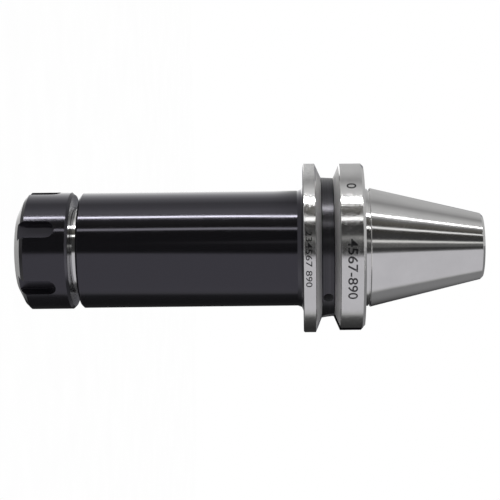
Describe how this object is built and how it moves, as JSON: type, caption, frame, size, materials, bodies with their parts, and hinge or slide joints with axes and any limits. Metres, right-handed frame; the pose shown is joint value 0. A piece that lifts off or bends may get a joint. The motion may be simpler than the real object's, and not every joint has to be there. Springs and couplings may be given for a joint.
{
  "type": "collet chuck holder",
  "caption": "Turned steel collet chuck holder with a long shank, clamping nut, slotted spring collet, grooved drive flange and bright spindle taper.",
  "frame": {"origin": "centre of the clamping nut's nose face, on the axis of rotation", "axes": "+Z along the axis of rotation, from the nose of the nut up to the small end of the taper; the drive keyways lie on +X and -X"},
  "size_m": [0.063, 0.063, 0.172],
  "materials": {
    "holder": "black oxide shank, bright ground taper, rims and groove flanks",
    "clamping_nut": "glossy black oxide with a bright turned nose bevel",
    "collet": "fine ground spring steel",
    "stop_screw": "dull black oxide"
  },
  "bodies": {
    "clamping_nut": {"clamping_nut": "clamping_nut"},
    "collet": {"collet": "collet"},
    "holder": {"holder": "holder"},
    "stop_screw": {"stop_screw": "stop_screw"}
  },
  "joints": [
    {"name": "nut_turn", "type": "hinge", "parent": "clamping_nut", "child": "collet", "pos_m": [0, 0, 0], "axis": [0, 0, 1], "range_deg": [0, 2160]},
    {"name": "shank_rise", "type": "slide", "parent": "collet", "child": "holder", "axis": [0, 0, 1], "range_m": [0, 0.009]},
    {"name": "stop_screw_travel", "type": "slide", "parent": "holder", "child": "stop_screw", "axis": [0, 0, 1], "range_m": [-0.01, 0.015]}
  ],
  "couplings": [
    {"joint": "shank_rise", "follows": "nut_turn", "m_per_rad": 0.00023873}
  ]
}
